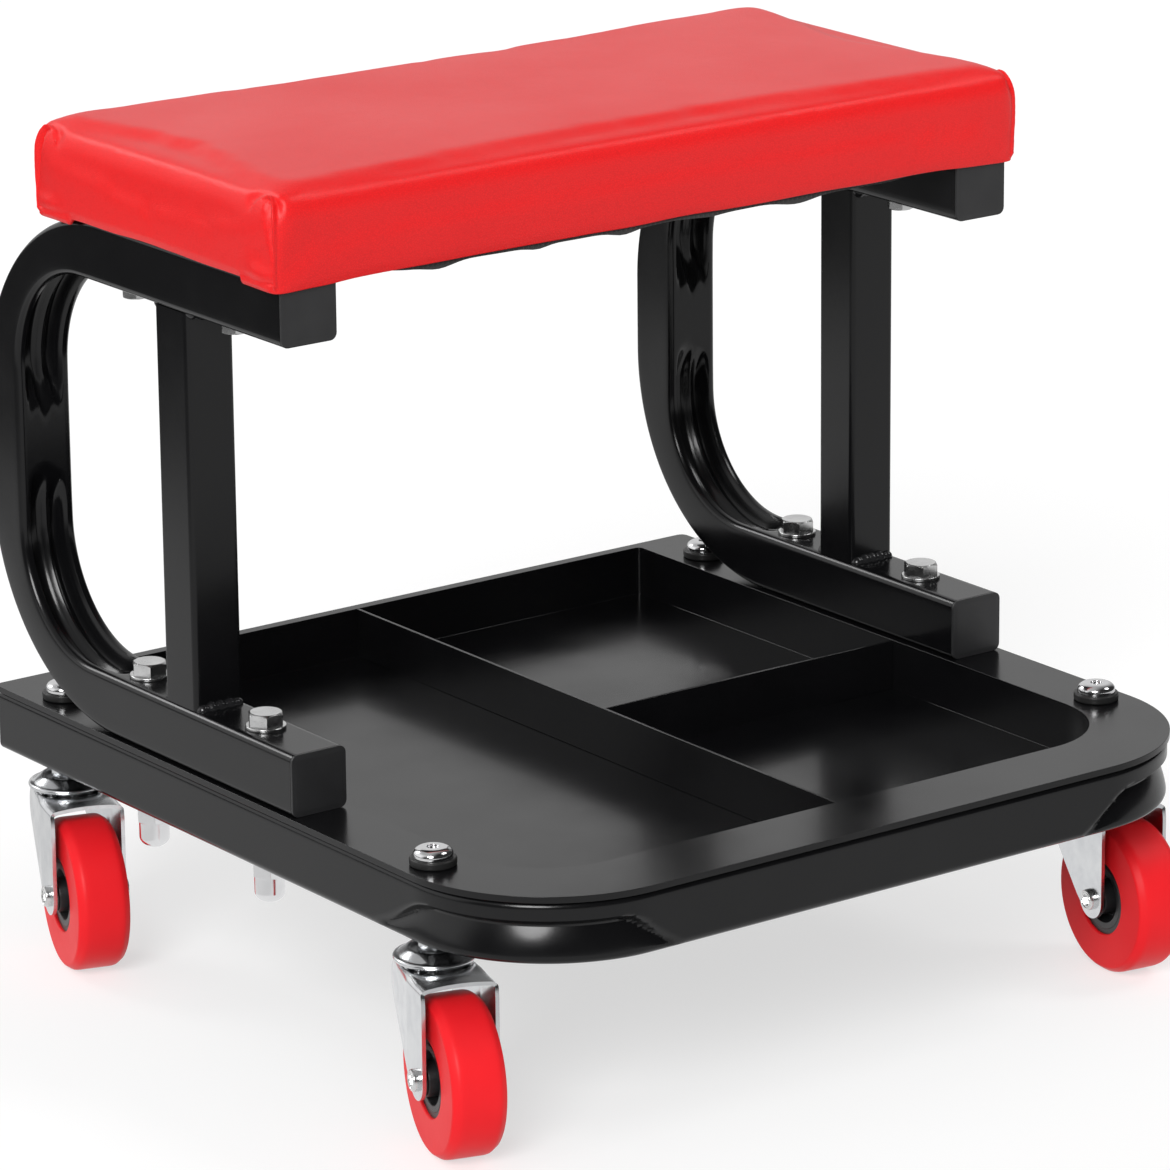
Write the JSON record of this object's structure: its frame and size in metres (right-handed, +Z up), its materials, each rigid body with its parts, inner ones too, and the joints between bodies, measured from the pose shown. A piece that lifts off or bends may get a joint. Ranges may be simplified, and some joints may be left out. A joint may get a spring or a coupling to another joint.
{
  "type": "creeper seat",
  "caption": "Rolling workshop seat: padded vinyl top on C-shaped square tube frames over a divided tool tray with swivel casters.",
  "frame": {"origin": "on the floor below the middle of the tool tray", "axes": "+Z up, -Y to the front, where the C-frames are open; +X to the side with the cross divider"},
  "size_m": [0.3822, 0.3666, 0.361],
  "materials": {
    "black_powder_coat": "semi-gloss black powder coat",
    "painted_weld": "weld bead under the black coat",
    "black_plastic": "moulded, slightly satin",
    "plywood": "raw plywood",
    "foam": "open-cell foam",
    "red_vinyl": "fine leather grain, soft gloss",
    "dust_cloth": "non-woven black cloth",
    "chrome": "bright chrome",
    "black_washer": "satin",
    "hub_plastic": "moulded, satin",
    "red_tread": "smooth polyurethane",
    "bright_zinc": "bright zinc plate",
    "zinc_fasteners": "zinc-plated steel"
  },
  "bodies": {
    "frame": {"base_frame_tube": "black_powder_coat", "base_tube_plugs": "black_plastic", "tool_tray": "black_powder_coat", "tray_divider_long": "black_powder_coat", "tray_divider_cross": "black_powder_coat", "left_c_frame": "black_powder_coat", "right_c_frame": "black_powder_coat", "left_post": "black_powder_coat", "right_post": "black_powder_coat", "left_weld_beads": "painted_weld", "right_weld_beads": "painted_weld", "left_lower_plug": "black_plastic", "right_lower_plug": "black_plastic", "left_upper_plug": "black_plastic", "right_upper_plug": "black_plastic", "seat_board": "plywood", "seat_foam": "foam", "seat_cover": "red_vinyl", "seat_dust_cover": "dust_cloth", "seat_staples": "zinc_fasteners", "seat_t_nuts": "zinc_fasteners", "seat_bolts": "zinc_fasteners", "seat_bolt_washers": "zinc_fasteners", "frame_bolts": "zinc_fasteners", "frame_bolt_washers": "zinc_fasteners", "frame_dome_nuts": "chrome", "stem_nut_washers": "black_washer", "stem_dome_nuts": "chrome", "caster_stems": "bright_zinc", "swivel_caps": "bright_zinc", "swivel_balls": "zinc_fasteners"},
    "swivel_front_left": {"fork_front_left": "bright_zinc", "axle_bolt_front_left": "zinc_fasteners", "axle_nut_front_left": "zinc_fasteners", "axle_sleeve_front_left": "zinc_fasteners"},
    "wheel_front_left": {"hub_front_left": "hub_plastic", "tread_front_left": "red_tread"},
    "swivel_front_right": {"fork_front_right": "bright_zinc", "axle_bolt_front_right": "zinc_fasteners", "axle_nut_front_right": "zinc_fasteners", "axle_sleeve_front_right": "zinc_fasteners"},
    "wheel_front_right": {"hub_front_right": "hub_plastic", "tread_front_right": "red_tread"},
    "swivel_back_left": {"fork_back_left": "bright_zinc", "axle_bolt_back_left": "zinc_fasteners", "axle_nut_back_left": "zinc_fasteners", "axle_sleeve_back_left": "zinc_fasteners"},
    "wheel_back_left": {"hub_back_left": "hub_plastic", "tread_back_left": "red_tread"},
    "swivel_back_right": {"fork_back_right": "bright_zinc", "axle_bolt_back_right": "zinc_fasteners", "axle_nut_back_right": "zinc_fasteners", "axle_sleeve_back_right": "zinc_fasteners"},
    "wheel_back_right": {"hub_back_right": "hub_plastic", "tread_back_right": "red_tread"}
  },
  "joints": [
    {"name": "turn_front_left", "type": "hinge", "parent": "frame", "child": "swivel_front_left", "pos_m": [-0.166, -0.113, 0.07], "axis": [0, 0, 1], "continuous": true},
    {"name": "roll_front_left", "type": "hinge", "parent": "swivel_front_left", "child": "wheel_front_left", "pos_m": [-0.17216, -0.13381, 0.03175], "axis": [0.9588, -0.284, 0], "continuous": true},
    {"name": "turn_front_right", "type": "hinge", "parent": "frame", "child": "swivel_front_right", "pos_m": [0.166, -0.113, 0.07], "axis": [0, 0, 1], "continuous": true},
    {"name": "roll_front_right", "type": "hinge", "parent": "swivel_front_right", "child": "wheel_front_right", "pos_m": [0.16298, -0.13449, 0.03175], "axis": [0.9903, -0.1392, 0], "continuous": true},
    {"name": "turn_back_left", "type": "hinge", "parent": "frame", "child": "swivel_back_left", "pos_m": [-0.166, 0.15, 0.07], "axis": [0, 0, 1], "continuous": true},
    {"name": "roll_back_left", "type": "hinge", "parent": "swivel_back_left", "child": "wheel_back_left", "pos_m": [-0.17216, 0.12919, 0.03175], "axis": [0.9588, -0.284, 0], "continuous": true},
    {"name": "turn_back_right", "type": "hinge", "parent": "frame", "child": "swivel_back_right", "pos_m": [0.166, 0.15, 0.07], "axis": [0, 0, 1], "continuous": true},
    {"name": "roll_back_right", "type": "hinge", "parent": "swivel_back_right", "child": "wheel_back_right", "pos_m": [0.17216, 0.12919, 0.03175], "axis": [0.9588, 0.284, 0], "continuous": true}
  ]
}
